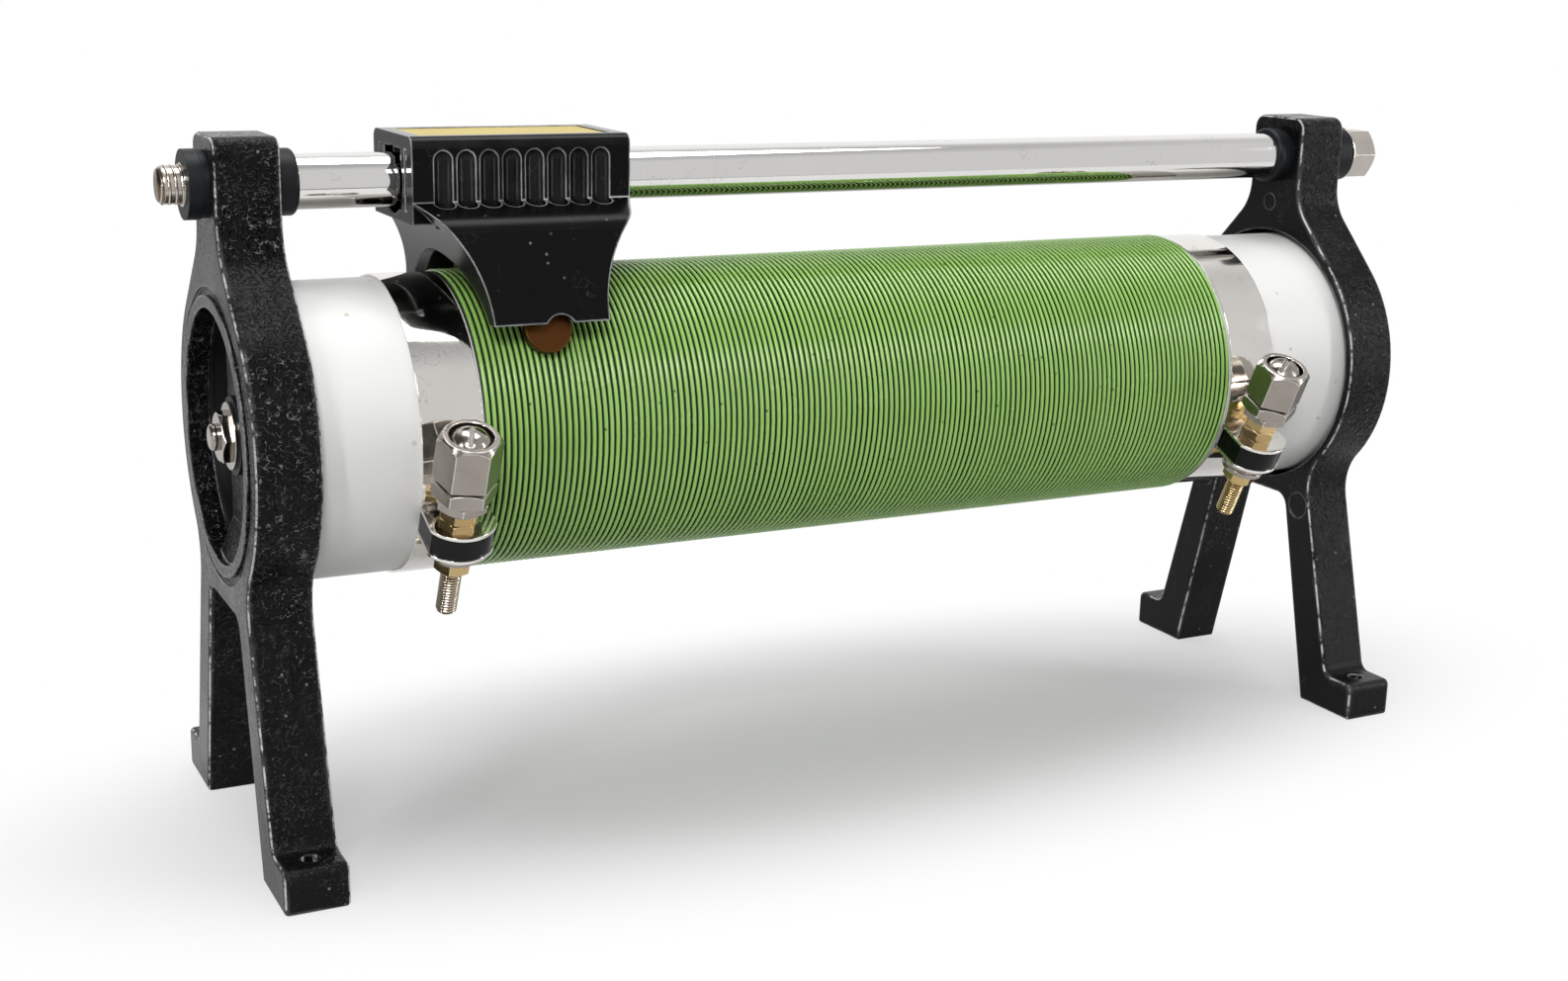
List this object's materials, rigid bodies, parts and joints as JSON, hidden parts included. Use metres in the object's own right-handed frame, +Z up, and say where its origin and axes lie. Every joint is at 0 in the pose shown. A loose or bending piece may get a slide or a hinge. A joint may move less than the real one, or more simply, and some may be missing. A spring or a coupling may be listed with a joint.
{
  "type": "laboratory rheostat",
  "caption": "Tube rheostat: a wire-wound ceramic tube between cast end frames, with a slider and contact rollers on a guide rod above and screw terminals.",
  "frame": {"origin": "on the bench, at the centre of the four foot holes", "axes": "+X along the tube and the slider's travel, towards the hexagon head of the rod's bolt; -Y towards the terminals; +Z up"},
  "size_m": [0.3464, 0.1046, 0.1674],
  "materials": {
    "frame_enamel": "black wrinkle enamel on a casting, semi-gloss",
    "ceramic_white": "satin vitrified ceramic",
    "gasket_rubber": "matte",
    "winding_wire": "oxidised resistance wire, satin green",
    "nickel": "polished nickel plate with light scratches",
    "brass": "bright turned brass",
    "bushing_black": "matte moulded fibre",
    "chrome_rod": "polished chrome plate",
    "bolt_steel": "turned steel, bright zinc plate",
    "slider_plastic": "moulded phenolic, glossy ribs and satin skirts",
    "label_yellow": "satin printed foil, bare",
    "contact_copper": "worn copper, satin",
    "spring_bronze": "spring bronze, satin"
  },
  "bodies": {
    "root": {"ceramic_tube": "ceramic_white", "guide_rod": "chrome_rod", "left_brass_nuts": "brass", "left_bush_insert": "bolt_steel", "left_end_frame": "frame_enamel", "left_inner_bush": "bushing_black", "left_lock_nut": "nickel", "left_lower_nut": "brass", "left_lower_washer": "nickel", "left_lug_insulator": "bushing_black", "left_lug_washer": "bushing_black", "left_outer_bush": "bushing_black", "left_retaining_screw": "nickel", "left_terminal_band": "nickel", "left_terminal_stud": "nickel", "left_thin_nut": "nickel", "left_tie_nut": "nickel", "left_tie_washer": "nickel", "left_tube_gasket": "gasket_rubber", "resistance_winding": "winding_wire", "right_brass_nuts": "brass", "right_end_frame": "frame_enamel", "right_inner_bush": "bushing_black", "right_lock_nut": "nickel", "right_lower_nut": "brass", "right_lower_washer": "nickel", "right_lug_insulator": "bushing_black", "right_lug_nut": "nickel", "right_outer_bush": "bushing_black", "right_retaining_screw": "nickel", "right_terminal_band": "nickel", "right_terminal_stud": "brass", "right_thin_nut": "nickel", "right_tie_nut": "nickel", "right_tie_washer": "nickel", "right_tube_gasket": "gasket_rubber", "rod_bolt": "bolt_steel", "rod_bolt_washer": "bolt_steel", "rod_fibre_washers": "bushing_black", "tie_rod": "nickel", "tie_seat_washers": "bushing_black"},
    "slider": {"slider_body": "slider_plastic", "slider_label": "label_yellow", "slider_left_bush": "bushing_black", "slider_right_bush": "bushing_black", "front_contact_leaf": "spring_bronze", "rear_contact_leaf": "spring_bronze", "leaf_screws": "bolt_steel"},
    "front_roller": {"front_contact_roller": "contact_copper", "front_roller_clip": "spring_bronze"},
    "rear_roller": {"rear_contact_roller": "contact_copper", "rear_roller_clip": "spring_bronze"},
    "left_clamp": {"left_clamp_washer": "nickel"},
    "left_binding": {"left_binding_nut": "nickel"},
    "right_clamp": {"right_clamp_washer": "nickel"},
    "right_binding": {"right_binding_nut": "nickel"}
  },
  "joints": [
    {"name": "slider_travel", "type": "slide", "parent": "root", "child": "slider", "axis": [1, 0, 0], "range_m": [-0.023, 0.203]},
    {"name": "front_roller_roll", "type": "hinge", "parent": "slider", "child": "front_roller", "pos_m": [-0.09, -0.03079, 0.12484], "axis": [0, 0.9336, -0.3584], "range_deg": [-232, 2041]},
    {"name": "rear_roller_roll", "type": "hinge", "parent": "slider", "child": "rear_roller", "pos_m": [-0.09, 0.03079, 0.12484], "axis": [0, 0.9336, 0.3584], "range_deg": [-232, 2041]},
    {"name": "left_clamp_lift", "type": "slide", "parent": "root", "child": "left_clamp", "axis": [0, -0.4147, 0.91], "range_m": [0, 0.0015]},
    {"name": "left_nut_turn", "type": "hinge", "parent": "left_clamp", "child": "left_binding", "pos_m": [-0.1147, -0.04371, 0.09506], "axis": [0, -0.4147, 0.91], "range_deg": [0, 675]},
    {"name": "right_clamp_lift", "type": "slide", "parent": "root", "child": "right_clamp", "axis": [0, -0.4147, 0.91], "range_m": [0, 0.0015]},
    {"name": "right_nut_turn", "type": "hinge", "parent": "right_clamp", "child": "right_binding", "pos_m": [0.1127, -0.04371, 0.09506], "axis": [0, -0.4147, 0.91], "range_deg": [0, 675]}
  ],
  "couplings": [
    {"joint": "front_roller_roll", "follows": "slider_travel", "rad_per_m": 175.44},
    {"joint": "rear_roller_roll", "follows": "slider_travel", "rad_per_m": 175.44},
    {"joint": "left_nut_turn", "follows": "left_clamp_lift", "rad_per_m": 7854},
    {"joint": "right_nut_turn", "follows": "right_clamp_lift", "rad_per_m": 7854}
  ]
}
